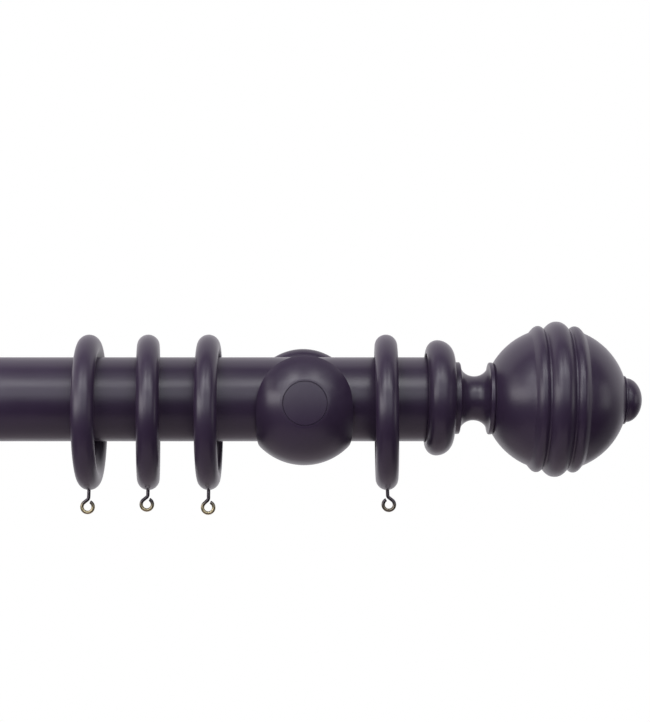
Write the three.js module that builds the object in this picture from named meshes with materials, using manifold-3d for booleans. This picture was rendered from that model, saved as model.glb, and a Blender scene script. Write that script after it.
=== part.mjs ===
// Wooden curtain pole set: one pole lying in two ball-shaped cups on round wall roses, a ribbed
// ball finial on each end, and rings with screw eyes for the curtain hooks.
// Millimetres, +X along the pole, -Y into the room, +Z up. The origin is on the wall, midway
// between the two brackets, at the height of the bracket arms.
import * as THREE from 'three';
import { mergeVertices } from 'three/addons/utils/BufferGeometryUtils.js';
import Module from 'manifold-3d';

const wasm = await Module();
wasm.setup();

// Clearances
const touchGap = 0.3; // between pieces that bear on each other or pass through each other
const collarPlay = 1.5; // round the pole end, inside the finial's collar

// Pole
const poleLength = 1200;
const poleRadius = 25;
const poleFromWall = 85;
const poleRise = 2.4; // pole axis above the bracket axis
const poleOverhang = 81.2; // pole end beyond the bracket's centre

// Bracket cup: a ball on a turned neck, with a U-shaped channel for the pole
const ballWall = 8.5; // wood under the channel
const ballForward = 4.5; // ball centre in front of the pole axis
const linerThickness = 2.4;
const linerLength = 30;
const linerHalfAngle = 35; // degrees each side of straight down
const neckWaistRadius = 13;
const neckFootRadius = 17.6;
const neckFootLength = 3.5;

// Cover plug in the ball's front
const plugHeadRadius = 13.15;
const plugHeadThickness = 2.5;
const plugPegRadius = 8;
const plugProud = 0.3; // head beyond the flat it sits in
const plugEdge = 0.4; // chamfer round the head

// Rose and wall plate
const roseRadius = 34.5;
const roseThickness = 16;
const roseEdge = 5; // straight outer edge
const roseSeatRadius = 20;
const plateRadius = 26;
const plateThickness = 3;
const bossRadius = 10;
const bossHeight = 10;
const screwCircleRadius = 18;

// Fasteners
const boltRadius = 3;
const boltHeadEdge = 2; // head beyond the shank, all round
const boltHeadHeight = 5;
const boltEndFromWall = 1;
const socketWall = 2.6;
const socketDepth = 2.8;
const washerEdge = 1.2; // washer beyond the head
const washerThickness = 1;
const wallScrewRadius = 2;
const wallScrewHeadEdge = 2.2; // head beyond the shank
const wallScrewHeadHeight = 2.3;
const wallScrewLength = 40;
const poleScrewRadius = 1.6;
const poleScrewHeadEdge = 1.8; // head beyond the shank
const poleScrewHeadHeight = 2.4;
const poleScrewSink = 2; // head below the ball's surface
const finialScrewRadius = 4;
const finialScrewReach = 30; // into the pole, and as far into the finial

// Rings and screw eyes
const ringSlack = 7.8; // ring's inner radius beyond the pole's
const ringBarRadius = 6.7;
const ringsInside = [57.2, 93.1, 128.1]; // from a bracket's centre towards the middle
const ringOutside = 49; // from a bracket's centre towards the finial
const ringsMiddle = [85, 250]; // from the middle of the pole
const ringTurns = [0, 0, -3, 1, -2, 2.5, -1.5, 2, -1.3, 2.5, -1.4, -2.2]; // degrees about the upright
const ringLeans = [1.5, 0, 0, 0, 1, 0, 0, -1, 0, 0, 0, -0.5]; // degrees out of plumb
const eyeWireRadius = 1.05;
const eyeLoopRadius = 3.35; // to the middle of the wire
const eyeDrop = 9.6; // loop centre below the ring
const eyeReach = 10; // shank inside the ring
const eyeJoinAngle = 135; // degrees, where the shank runs into the loop
const eyeEndAngle = 430; // degrees, where the loop's wire ends

// Finial, measured along its axis from the collar's face
const collarWidth = 16.7;
const collarCrest = 6.6; // distance of the widest line from the face
const collarWall = 7.8; // at the crest, outside the recess
const collarLip = 1.1; // at the face
const collarShoulder = 10.4; // from the crest down to the back, in radius
const collarRecess = 9.9; // depth over the pole end
const filletRadius = 21.4;
const filletWidth = 3.05;
const coveRadius = 13.1; // at the waist
const coveWidth = 17.35;
const headRadius = 42.6; // the round head
const smallBead = { width: 8.1, crest: 43.25, offset: 12.05 }; // offset from the middle bead
const middleBead = { width: 13.6, crest: 46.2, offset: 0 };
const buttonRadius = 14.4; // its flange
const buttonFlange = 2.2;
const buttonDome = 12.2; // radius of the dome beyond the flange
const buttonLength = 11.4;

// Facets
const roundSides = 24;
const poleSides = 32;
const smallSides = 10;
const ringSides = 18;
const ringBarSides = 8;
const eyeSides = 6;

const bracketX = poleLength / 2 - poleOverhang;
const channelRadius = poleRadius + linerThickness + 2 * touchGap;
const ballRadius = channelRadius + ballWall;
const ballFromWall = poleFromWall + ballForward;
const ballFlatRadius = plugHeadRadius + touchGap + 0.35;
const ballFrontFromWall = ballFromWall + Math.sqrt(ballRadius ** 2 - ballFlatRadius ** 2);
const boltHeadRadius = boltRadius + boltHeadEdge;
const socketRadius = boltHeadRadius - socketWall;
const washerRadius = boltHeadRadius + washerEdge;
const counterboreRadius = washerRadius + touchGap;
const counterboreDepth = boltHeadHeight + washerThickness + 3 * touchGap;
const boltHoleRadius = boltRadius + touchGap;
const channelBackFromWall = poleFromWall - channelRadius;
const wallScrewHeadRadius = wallScrewRadius + wallScrewHeadEdge;
const poleScrewHeadRadius = poleScrewRadius + poleScrewHeadEdge;
const ringInnerRadius = poleRadius + ringSlack;
const collarRecessRadius = poleRadius + collarPlay;
const collarRadius = collarRecessRadius + collarWall;
const collarFaceRadius = collarRecessRadius + collarLip;
const collarBackRadius = collarRadius - collarShoulder;

const paint = { color: 0x3b3444, roughness: 0.45, metalness: 0 };
const steel = { color: 0xb4b6ba, roughness: 0.35, metalness: 1 };
const brass = { color: 0x6e6243, roughness: 0.4, metalness: 1 };
const felt = { color: 0x2a272c, roughness: 1, metalness: 0 };

const radians = THREE.MathUtils.degToRad;
const group = new THREE.Group();

// Points along an elliptical arc, as [radius, distance along the axis]
function arc(axial, radial, alongRadius, outRadius, fromDeg, toDeg, steps) {
  const points = [];
  for (let i = 0; i <= steps; i += 1) {
    const angle = radians(fromDeg + ((toDeg - fromDeg) * i) / steps);
    points.push([radial + outRadius * Math.sin(angle), axial + alongRadius * Math.cos(angle)]);
  }
  return points;
}

function toSolid(geometry) {
  const bare = geometry.clone();
  bare.deleteAttribute('normal');
  bare.deleteAttribute('uv');
  const merged = mergeVertices(bare, 1e-4);
  const corners = merged.index.array;
  const kept = [];
  for (let i = 0; i < corners.length; i += 3) {
    const [a, b, c] = [corners[i], corners[i + 1], corners[i + 2]];
    if (a !== b && b !== c && a !== c) kept.push(a, b, c);
  }
  return new wasm.Manifold(new wasm.Mesh({
    numProp: 3,
    vertProperties: new Float32Array(merged.attributes.position.array),
    triVerts: new Uint32Array(kept),
  }));
}

function toGeometry(solid) {
  const mesh = solid.getMesh();
  const geometry = new THREE.BufferGeometry();
  geometry.setAttribute('position', new THREE.BufferAttribute(mesh.vertProperties, 3));
  geometry.setIndex(new THREE.BufferAttribute(mesh.triVerts, 1));
  return geometry;
}

// A turned piece: the outline is [radius, height] pairs, and its axis is +Z
function turned(outline, sides) {
  const points = outline.map(([radius, height]) => new THREE.Vector2(radius, height));
  return new THREE.LatheGeometry(points, sides).rotateX(Math.PI / 2);
}

function rod(radius, from, to, sides) {
  return turned([[0, from], [radius, from], [radius, to], [0, to]], sides);
}

// The same piece with its axis pointing into the room (-Y)
const intoRoom = (geometry) => geometry.rotateX(Math.PI / 2);

// The same piece with its axis pointing along the pole (+X)
const alongPole = (geometry) => geometry.rotateY(Math.PI / 2);

function cut(geometry, ...cutters) {
  return toGeometry(cutters.reduce((solid, cutter) => solid.subtract(toSolid(cutter)), toSolid(geometry)));
}

function add(name, geometry, material, x, y, z) {
  const mesh = new THREE.Mesh(geometry, new THREE.MeshStandardMaterial(material));
  mesh.name = name;
  mesh.position.set(x, y, z);
  group.add(mesh);
  return mesh;
}

function poleGeometry() {
  const half = poleLength / 2;
  const holeRadius = finialScrewRadius + touchGap;
  const holeDepth = finialScrewReach + touchGap;
  return alongPole(turned([
    [0, holeDepth - half], [holeRadius, holeDepth - half], [holeRadius, -half], [poleRadius, -half],
    [poleRadius, half], [holeRadius, half], [holeRadius, half - holeDepth], [0, half - holeDepth],
  ], poleSides));
}

// The bead stands on the round head between its two edges
function beadPoints(headCentre, { width, crest, offset }) {
  const points = [];
  const steps = 3;
  const rise = crest - Math.sqrt(headRadius ** 2 - offset ** 2);
  for (let i = 0; i <= steps; i += 1) {
    const along = offset - width / 2 + (width * i) / steps;
    const bulge = Math.sqrt(1 - ((2 * i) / steps - 1) ** 2);
    points.push([Math.sqrt(headRadius ** 2 - along ** 2) + rise * bulge, headCentre + along]);
  }
  return points;
}

function finialGeometry() {
  const holeRadius = finialScrewRadius + touchGap;
  const holeEnd = collarRecess + finialScrewReach + touchGap;
  const coveStart = collarWidth + filletWidth;
  const coveEnd = coveStart + coveWidth;
  const headStart = coveEnd + filletWidth;
  const headCentre = headStart + Math.sqrt(headRadius ** 2 - filletRadius ** 2);
  const buttonStart = headCentre + Math.sqrt(headRadius ** 2 - buttonRadius ** 2);
  const firstBead = { ...smallBead, offset: -smallBead.offset };
  const headArc = (from, to, steps) => arc(headCentre, 0, headRadius, headRadius, from, to, steps);
  const angleAt = (along) => THREE.MathUtils.radToDeg(Math.acos(along / headRadius));
  const beadEdge = smallBead.offset + smallBead.width / 2;
  return turned([
    [0, holeEnd], [holeRadius, holeEnd], [holeRadius, collarRecess],
    [collarRecessRadius, collarRecess], [collarRecessRadius, 0],
    ...arc(collarCrest, collarFaceRadius, collarCrest, collarRadius - collarFaceRadius, 180, 90, 2),
    ...arc(collarCrest, collarBackRadius, collarWidth - collarCrest,
      collarRadius - collarBackRadius, 90, 0, 3).slice(1),
    [filletRadius, collarWidth], [filletRadius, coveStart],
    ...arc(coveStart + coveWidth / 2, filletRadius, coveWidth / 2,
      coveRadius - filletRadius, 180, 0, 4).slice(1, -1),
    [filletRadius, coveEnd], [filletRadius, headStart],
    ...headArc(angleAt(headStart - headCentre), angleAt(-beadEdge), 2).slice(1, -1),
    ...beadPoints(headCentre, firstBead),
    ...beadPoints(headCentre, middleBead),
    ...beadPoints(headCentre, smallBead),
    ...headArc(angleAt(beadEdge), angleAt(buttonStart - headCentre), 2).slice(1),
    [buttonRadius, buttonStart + buttonFlange],
    ...arc(buttonStart + buttonFlange, 0, buttonLength - buttonFlange, buttonDome, 90, 0, 3),
  ], roundSides);
}

function finialScrewGeometry() {
  return alongPole(rod(finialScrewRadius, -finialScrewReach, finialScrewReach, smallSides));
}

// The ball, its neck and everything bored along the bracket's axis are one closed outline
function cupGeometry() {
  const neckRadius = Math.sqrt(ballRadius ** 2 - (ballFromWall - channelBackFromWall) ** 2);
  const footStart = roseThickness + touchGap;
  const neckStart = footStart + neckFootLength;
  const neckMiddle = (neckStart + channelBackFromWall) / 2;
  const frontAngle = THREE.MathUtils.radToDeg(Math.asin(ballFlatRadius / ballRadius));
  const backAngle = 180 - THREE.MathUtils.radToDeg(Math.asin(neckRadius / ballRadius));
  const headHoleRadius = plugHeadRadius + touchGap;
  const pegHoleRadius = plugPegRadius + touchGap;
  const plugSeat = ballFrontFromWall - plugHeadThickness;
  const counterboreFloor = channelBackFromWall - counterboreDepth;
  const outline = [
    [boltHoleRadius, footStart], [neckFootRadius, footStart], [neckFootRadius, neckStart],
    ...arc(neckMiddle, neckRadius, neckMiddle - neckStart, neckWaistRadius - neckRadius, 180, 0, 4),
    ...arc(ballFromWall, 0, ballRadius, ballRadius, backAngle, frontAngle, 8).slice(1),
    [headHoleRadius, ballFrontFromWall], [headHoleRadius, plugSeat], [pegHoleRadius, plugSeat],
    [pegHoleRadius, poleFromWall], [counterboreRadius, poleFromWall],
    [counterboreRadius, counterboreFloor], [boltHoleRadius, counterboreFloor],
    [boltHoleRadius, footStart],
  ];
  return cut(intoRoom(turned(outline, roundSides)), channelGeometry(), poleScrewHole());
}

// The U-shaped channel that the pole is laid into from above
function channelGeometry() {
  const channelTop = ballRadius + poleRadius;
  const shape = new THREE.Shape();
  shape.moveTo(channelRadius, channelTop);
  shape.lineTo(-channelRadius, channelTop);
  shape.absarc(0, 0, channelRadius, Math.PI, 2 * Math.PI, false);
  const depth = 4 * ballRadius;
  return new THREE.ExtrudeGeometry(shape, { depth, bevelEnabled: false, curveSegments: roundSides / 2 })
    .translate(0, 0, -depth / 2)
    .rotateX(Math.PI / 2)
    .rotateZ(Math.PI / 2)
    .translate(0, -poleFromWall, poleRise);
}

const poleScrewHeadZ = -Math.sqrt(ballRadius ** 2 - ballForward ** 2) + poleScrewSink;
const poleScrewTipZ = poleRise - poleRadius - 2 * touchGap;

function poleScrewOutline(clearance, below) {
  const shoulder = poleScrewHeadZ + poleScrewHeadHeight;
  return [
    [0, poleScrewHeadZ - below], [poleScrewHeadRadius + clearance, poleScrewHeadZ - below],
    [poleScrewHeadRadius + clearance, shoulder + clearance],
    [poleScrewRadius + clearance, shoulder + clearance],
    [poleScrewRadius + clearance, poleScrewTipZ], [0, poleScrewTipZ],
  ];
}

function poleScrewHole() {
  const below = 3 * poleScrewSink;
  return turned(poleScrewOutline(touchGap, below), smallSides).translate(0, -poleFromWall, 0);
}

function linerGeometry() {
  const outer = channelRadius - touchGap - 0.1; // inside the channel's flats
  const inner = outer - linerThickness + 0.1;
  const low = radians(270 - linerHalfAngle);
  const high = radians(270 + linerHalfAngle);
  const shape = new THREE.Shape();
  shape.absarc(0, 0, outer, low, high, false);
  shape.absarc(0, 0, inner, high, low, true);
  const strip = new THREE.ExtrudeGeometry(shape, { depth: linerLength, bevelEnabled: false, curveSegments: 6 })
    .translate(0, 0, -linerLength / 2)
    .rotateX(Math.PI / 2)
    .rotateZ(Math.PI / 2);
  const hole = rod(poleScrewRadius + touchGap, -2 * poleRadius, 0, smallSides);
  return cut(strip, hole);
}

function plugGeometry() {
  const face = ballFrontFromWall + plugProud;
  const seat = ballFrontFromWall - plugHeadThickness + touchGap;
  const pegEnd = poleFromWall + channelRadius + touchGap;
  return intoRoom(turned([
    [0, pegEnd], [plugPegRadius, pegEnd], [plugPegRadius, seat], [plugHeadRadius, seat],
    [plugHeadRadius, face - plugEdge], [plugHeadRadius - plugEdge, face], [0, face],
  ], roundSides));
}

function roseGeometry() {
  const plateHole = plateRadius + touchGap;
  const plateFloor = plateThickness + touchGap;
  const bossHole = bossRadius + touchGap;
  const bossFloor = plateThickness + bossHeight + touchGap;
  const shoulderWidth = 4;
  const quirk = 1.5;
  const coveOut = roseRadius - shoulderWidth - quirk - roseSeatRadius;
  const coveUp = roseThickness - roseEdge - shoulderWidth - quirk;
  return intoRoom(turned([
    [boltHoleRadius, bossFloor], [bossHole, bossFloor], [bossHole, plateFloor],
    [plateHole, plateFloor], [plateHole, 0], [roseRadius, 0],
    ...arc(roseEdge, roseRadius - shoulderWidth, shoulderWidth, shoulderWidth, 90, 0, 2),
    [roseRadius - shoulderWidth - quirk, roseEdge + shoulderWidth],
    ...arc(roseThickness - quirk, roseRadius - shoulderWidth - quirk, coveUp, -coveOut, 180, 90, 3).slice(1),
    [roseSeatRadius, roseThickness], [boltHoleRadius, roseThickness], [boltHoleRadius, bossFloor],
  ], roundSides));
}

function wallScrewOutline(clearance) {
  const top = plateThickness;
  const neck = top - wallScrewHeadHeight;
  const tipLength = 4 * wallScrewRadius;
  return [
    [0, top - wallScrewLength], [wallScrewRadius + clearance, top - wallScrewLength + tipLength],
    [wallScrewRadius + clearance, neck], [wallScrewHeadRadius + clearance, top],
    [0, top],
  ];
}

function screwPlace(index) {
  const angle = radians(90 + 120 * index);
  return [screwCircleRadius * Math.cos(angle), screwCircleRadius * Math.sin(angle)];
}

function plateGeometry() {
  const top = plateThickness + bossHeight;
  const disc = intoRoom(turned([
    [boltHoleRadius, 0], [plateRadius, 0], [plateRadius, plateThickness],
    [bossRadius, plateThickness], [bossRadius, top], [boltHoleRadius, top], [boltHoleRadius, 0],
  ], roundSides));
  const holes = [0, 1, 2].map((index) => {
    const [x, z] = screwPlace(index);
    return intoRoom(turned(wallScrewOutline(touchGap), smallSides)).translate(x, 0, z);
  });
  return cut(disc, ...holes);
}

function boltGeometry() {
  const headBack = channelBackFromWall - touchGap - boltHeadHeight;
  const headFront = headBack + boltHeadHeight;
  return intoRoom(turned([
    [0, boltEndFromWall], [boltRadius, boltEndFromWall], [boltRadius, headBack],
    [boltHeadRadius, headBack], [boltHeadRadius, headFront], [socketRadius, headFront],
    [socketRadius, headFront - socketDepth], [0, headFront - socketDepth],
  ], smallSides));
}

function washerGeometry() {
  const back = channelBackFromWall - counterboreDepth + touchGap;
  const front = back + washerThickness;
  return intoRoom(turned([
    [boltHoleRadius, back], [washerRadius, back], [washerRadius, front],
    [boltHoleRadius, front], [boltHoleRadius, back],
  ], smallSides));
}

// A ring with its centre at the origin, bored from below for the shank of its eye
function ringGeometry() {
  const barCentre = ringInnerRadius + ringBarRadius;
  const bar = arc(barCentre, 0, ringBarRadius, ringBarRadius, 0, 360, ringBarSides)
    .map(([out, along]) => [along, out]);
  const halfFacet = Math.PI / ringSides;
  const ring = alongPole(turned(bar, ringSides).rotateZ(halfFacet));
  const ringBottom = -ringInnerRadius - 2 * ringBarRadius;
  const bore = rod(eyeWireRadius + touchGap, ringBottom - ringBarRadius,
    ringBottom + eyeReach + touchGap, smallSides);
  return cut(ring, bore);
}

// A screw eye in the ring's own frame: a straight shank that bends aside and goes round the loop
function eyeGeometry(hand) {
  const ringBottom = -ringInnerRadius - 2 * ringBarRadius;
  const centre = new THREE.Vector3(0, 0, ringBottom - eyeDrop);
  const onLoop = (degrees) => new THREE.Vector3(
    hand * eyeLoopRadius * Math.cos(radians(degrees)), 0, eyeLoopRadius * Math.sin(radians(degrees)),
  ).add(centre);
  const join = onLoop(eyeJoinAngle);
  const bend = new THREE.Vector3(0, 0, join.z + Math.abs(join.x)); // where the tangent meets the shank
  const above = bend.clone().setZ(bend.z + 1);
  const path = new THREE.CurvePath();
  path.add(new THREE.LineCurve3(new THREE.Vector3(0, 0, ringBottom + eyeReach), above));
  path.add(new THREE.QuadraticBezierCurve3(above, bend, bend.clone().lerp(join, 0.35)));
  path.add(new THREE.LineCurve3(bend.clone().lerp(join, 0.35), join));
  const loopPoints = [];
  const loopSteps = 10;
  for (let i = 0; i <= loopSteps; i += 1) {
    loopPoints.push(onLoop(eyeJoinAngle + ((eyeEndAngle - eyeJoinAngle) * i) / loopSteps));
  }
  path.add(new THREE.CatmullRomCurve3(loopPoints));
  const section = new THREE.Shape().absarc(0, 0, eyeWireRadius, 0, 2 * Math.PI, false);
  return new THREE.ExtrudeGeometry(section, {
    extrudePath: path, steps: 18, bevelEnabled: false, curveSegments: eyeSides / 2,
  });
}

function addPole() {
  add('pole', poleGeometry(), paint, 0, -poleFromWall, poleRise);
}

function addFinials() {
  const poleEnd = poleLength / 2;
  for (const [side, sign] of [['left', -1], ['right', 1]]) {
    const facing = sign > 0 ? 0 : Math.PI;
    const collarFace = sign * (poleEnd - collarRecess + touchGap);
    const finial = add(`finial_${side}`, alongPole(finialGeometry()), paint,
      collarFace, -poleFromWall, poleRise);
    finial.rotation.z = facing;
    add(`finial_screw_${side}`, finialScrewGeometry(), steel, sign * poleEnd, -poleFromWall, poleRise);
  }
}

function addRings() {
  const places = [-bracketX - ringOutside, bracketX + ringOutside];
  ringsInside.forEach((away) => places.push(away - bracketX, bracketX - away));
  ringsMiddle.forEach((away) => places.push(-away, away));
  places.sort((a, b) => a - b);
  // a ring hangs with the flat of its top facet just above the pole
  const drop = ringInnerRadius * Math.cos(Math.PI / ringSides) - poleRadius - touchGap;
  places.forEach((x, index) => {
    const number = String(index + 1).padStart(2, '0');
    const hand = index === places.length - 1 ? -1 : 1;
    const hung = new THREE.Group();
    hung.position.set(x, -poleFromWall, poleRise - drop);
    hung.rotation.set(0, radians(ringLeans[index]), radians(ringTurns[index]), 'ZYX');
    hung.add(add(`ring_${number}`, ringGeometry(), paint, 0, 0, 0));
    hung.add(add(`ring_eye_${number}`, eyeGeometry(hand), brass, 0, 0, 0));
    group.add(hung);
  });
}

function addBrackets() {
  for (const [side, x] of [['left', -bracketX], ['right', bracketX]]) {
    add(`cup_${side}`, cupGeometry(), paint, x, 0, 0);
    add(`cup_liner_${side}`, linerGeometry(), felt, x, -poleFromWall, poleRise);
    add(`cover_plug_${side}`, plugGeometry(), paint, x, 0, 0);
    add(`rose_${side}`, roseGeometry(), paint, x, 0, 0);
    add(`wall_plate_${side}`, plateGeometry(), steel, x, 0, 0);
    add(`bracket_bolt_${side}`, boltGeometry(), steel, x, 0, 0);
    add(`bolt_washer_${side}`, washerGeometry(), steel, x, 0, 0);
    add(`pole_screw_${side}`, turned(poleScrewOutline(0, 0), smallSides), steel, x, -poleFromWall, 0);
    for (let index = 0; index < 3; index += 1) {
      const [screwX, screwZ] = screwPlace(index);
      add(`wall_screw_${side}_${index + 1}`, intoRoom(turned(wallScrewOutline(0), smallSides)), steel,
        x + screwX, 0, screwZ);
    }
  }
}

addPole();
addFinials();
addRings();
addBrackets();

export default group;
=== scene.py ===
# Curtain pole set in satin aubergine paint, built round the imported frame.
# Metres, +X along the pole, -Y into the room, +Z up; the wall is the plane y = 0.
import math

import bpy
import numpy as np
from mathutils import Matrix, Vector


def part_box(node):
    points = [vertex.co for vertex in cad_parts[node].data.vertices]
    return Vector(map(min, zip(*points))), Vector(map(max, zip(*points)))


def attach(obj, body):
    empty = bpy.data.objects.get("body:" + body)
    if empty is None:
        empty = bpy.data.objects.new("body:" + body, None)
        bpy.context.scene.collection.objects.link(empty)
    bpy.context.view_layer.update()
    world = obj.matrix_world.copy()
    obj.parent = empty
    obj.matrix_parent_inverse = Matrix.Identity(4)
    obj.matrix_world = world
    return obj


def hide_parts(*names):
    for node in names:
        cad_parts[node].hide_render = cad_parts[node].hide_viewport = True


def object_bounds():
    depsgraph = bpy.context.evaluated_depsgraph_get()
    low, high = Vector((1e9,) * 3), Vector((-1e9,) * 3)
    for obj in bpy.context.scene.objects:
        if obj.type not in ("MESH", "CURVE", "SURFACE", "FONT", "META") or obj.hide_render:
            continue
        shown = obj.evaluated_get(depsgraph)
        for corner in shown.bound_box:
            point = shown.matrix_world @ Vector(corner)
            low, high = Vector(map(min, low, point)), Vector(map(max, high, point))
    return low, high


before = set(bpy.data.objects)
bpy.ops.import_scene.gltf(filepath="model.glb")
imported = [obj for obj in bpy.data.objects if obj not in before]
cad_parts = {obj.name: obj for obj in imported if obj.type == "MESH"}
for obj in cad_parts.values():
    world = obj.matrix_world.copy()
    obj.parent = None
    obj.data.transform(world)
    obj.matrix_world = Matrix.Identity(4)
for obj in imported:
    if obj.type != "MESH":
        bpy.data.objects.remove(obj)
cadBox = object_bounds()
mm = 0.001


# small helpers
def deselectAll():
    if bpy.context.object and bpy.context.object.mode != "OBJECT":
        bpy.ops.object.mode_set(mode="OBJECT")
    bpy.ops.object.select_all(action="DESELECT")


def pick(piece):
    deselectAll()
    piece.select_set(True)
    bpy.context.view_layer.objects.active = piece


def named(name):
    piece = bpy.context.object
    piece.name = name
    piece.data.name = name
    return piece


def selectVerts(piece, test):
    # selects the vertices whose place passes the test, and stays in edit mode
    bpy.ops.object.mode_set(mode="EDIT")
    bpy.ops.mesh.select_mode(type="VERT")
    bpy.ops.mesh.select_all(action="DESELECT")
    bpy.ops.object.mode_set(mode="OBJECT")
    for vert in piece.data.vertices:
        vert.select = bool(test(vert.co))
    bpy.ops.object.mode_set(mode="EDIT")


def selectFaces(piece, test):
    bpy.ops.object.mode_set(mode="EDIT")
    bpy.ops.mesh.select_mode(type="FACE")
    bpy.ops.mesh.select_all(action="DESELECT")
    bpy.ops.object.mode_set(mode="OBJECT")
    for face in piece.data.polygons:
        face.select = bool(test(face))
    bpy.ops.object.mode_set(mode="EDIT")


def settle(piece):
    # place, turn and scale go into the mesh
    pick(piece)
    bpy.ops.object.transform_apply(location=True, rotation=True, scale=True)


def place(piece, turn, where):
    piece.data.transform(Matrix.Translation(where) @ turn.to_4x4())
    piece.data.update()


def useModifier(piece, kind, **values):
    pick(piece)
    modifier = piece.modifiers.new(kind.title(), kind)
    for key, value in values.items():
        setattr(modifier, key, value)
    bpy.ops.object.modifier_apply(modifier=modifier.name)


def carve(piece, cutter):
    useModifier(piece, "BOOLEAN", operation="DIFFERENCE", solver="EXACT", object=cutter)
    bpy.data.objects.remove(cutter, do_unlink=True)


def softenEdges(piece, width, angle=35, segments=2):
    useModifier(piece, "BEVEL", width=width, segments=segments, limit_method="ANGLE",
                angle_limit=math.radians(angle), use_clamp_overlap=True, harden_normals=False)


def mend(piece):
    # slivers left by a cut are dissolved
    pick(piece)
    bpy.ops.object.mode_set(mode="EDIT")
    bpy.ops.mesh.select_all(action="SELECT")
    bpy.ops.mesh.remove_doubles(threshold=2e-6)
    bpy.ops.mesh.dissolve_degenerate(threshold=2e-6)
    bpy.ops.object.mode_set(mode="OBJECT")


def smooth(piece, angle=32):
    pick(piece)
    bpy.ops.object.shade_smooth_by_angle(angle=math.radians(angle))


def copyOf(piece, name):
    pick(piece)
    bpy.ops.object.duplicate(linked=False)
    return named(name)


def arc(along, out, alongRadius, outRadius, start, end, steps):
    # stations (distance along the axis, radius) on an elliptical arc; 90 degrees is outermost
    stations = []
    for i in range(steps + 1):
        angle = math.radians(start + (end - start) * i / steps)
        stations.append((along + alongRadius * math.cos(angle), out + outRadius * math.sin(angle)))
    return stations


def turned(name, stations, steps=96):
    # turned on the lathe: one point is extruded along the outline and spun round +X
    deselectAll()
    bpy.ops.mesh.primitive_plane_add(size=0.01, location=(0, 0, 0))
    piece = named(name)
    bpy.ops.object.mode_set(mode="EDIT")
    bpy.ops.mesh.select_mode(type="VERT")
    bpy.ops.mesh.select_all(action="SELECT")
    bpy.ops.mesh.merge(type="CENTER")
    first = stations[0]
    bpy.ops.transform.translate(value=(first[0], 0, first[1]))
    for here, there in zip(stations, stations[1:]):
        step = (there[0] - here[0], 0, there[1] - here[1])
        bpy.ops.mesh.extrude_region_move(TRANSFORM_OT_translate={"value": step})
    bpy.ops.mesh.select_all(action="SELECT")
    bpy.ops.mesh.spin(steps=steps, angle=2 * math.pi, center=(0, 0, 0), axis=(1, 0, 0))
    bpy.ops.mesh.select_all(action="SELECT")
    bpy.ops.mesh.remove_doubles(threshold=1e-6)
    bpy.ops.mesh.normals_make_consistent(inside=False)
    bpy.ops.object.mode_set(mode="OBJECT")
    return piece


def drill(radius, depth, sides=48):
    # a cylinder along +X from the origin, to carve with
    deselectAll()
    bpy.ops.mesh.primitive_cylinder_add(vertices=sides, radius=radius, depth=depth,
                                        rotation=(0, math.pi / 2, 0), location=(depth / 2, 0, 0))
    cutter = named("drill")
    settle(cutter)
    return cutter


toRoom = Matrix.Rotation(math.radians(-90), 3, "Z")     # +X becomes -Y
toUp = Matrix.Rotation(math.radians(-90), 3, "Y")       # +X becomes +Z
toLeft = Matrix.Rotation(math.radians(180), 3, "Z")     # +X becomes -X


# materials
def newMaterial(name):
    material = bpy.data.materials.new(name)
    material.use_nodes = True
    nodes = material.node_tree.nodes
    return material, nodes, material.node_tree.links, nodes["Principled BSDF"]


def noise(nodes, links, source, scale, detail=3, roughness=0.5, distortion=0):
    node = nodes.new("ShaderNodeTexNoise")
    node.inputs["Scale"].default_value = scale
    node.inputs["Detail"].default_value = detail
    node.inputs["Roughness"].default_value = roughness
    node.inputs["Distortion"].default_value = distortion
    links.new(source, node.inputs["Vector"])
    return node.outputs["Fac"]


noiseRange = (0.3, 0.7)   # where nearly all of a noise lies


def spread(nodes, links, source, low, high):
    node = nodes.new("ShaderNodeMapRange")
    node.inputs["From Min"].default_value = noiseRange[0]
    node.inputs["From Max"].default_value = noiseRange[1]
    node.inputs["To Min"].default_value = low
    node.inputs["To Max"].default_value = high
    links.new(source, node.inputs["Value"])
    return node.outputs["Result"]


def blendColor(nodes, links, factor, first, second):
    node = nodes.new("ShaderNodeMix")
    node.data_type = "RGBA"
    for socket, value in ((node.inputs[6], first), (node.inputs[7], second)):
        if isinstance(value, tuple):
            socket.default_value = (*value, 1)
        else:
            links.new(value, socket)
    links.new(factor, node.inputs[0])
    return node.outputs[2]


def bump(nodes, links, height, strength, distance, below=None):
    node = nodes.new("ShaderNodeBump")
    node.inputs["Strength"].default_value = strength
    node.inputs["Distance"].default_value = distance
    links.new(height, node.inputs["Height"])
    if below:
        links.new(below, node.inputs["Normal"])
    return node.outputs["Normal"]


def fadeBetween(nodes, links, source, span, values):
    # a soft step from one value to the other
    node = nodes.new("ShaderNodeMapRange")
    node.interpolation_type = "SMOOTHSTEP"
    node.inputs["From Min"].default_value, node.inputs["From Max"].default_value = span
    node.inputs["To Min"].default_value, node.inputs["To Max"].default_value = values
    links.new(source, node.inputs["Value"])
    return node.outputs["Result"]


def calculated(nodes, links, operation, *sources):
    node = nodes.new("ShaderNodeMath")
    node.operation = operation
    for socket, source in zip(node.inputs, sources):
        links.new(source, socket)
    return node.outputs["Value"]


def objectCoords(nodes):
    return nodes.new("ShaderNodeTexCoord").outputs["Object"]


def stretched(nodes, links, source, scale):
    mapping = nodes.new("ShaderNodeMapping")
    mapping.inputs["Scale"].default_value = scale
    links.new(source, mapping.inputs["Vector"])
    return mapping.outputs["Vector"]


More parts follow.
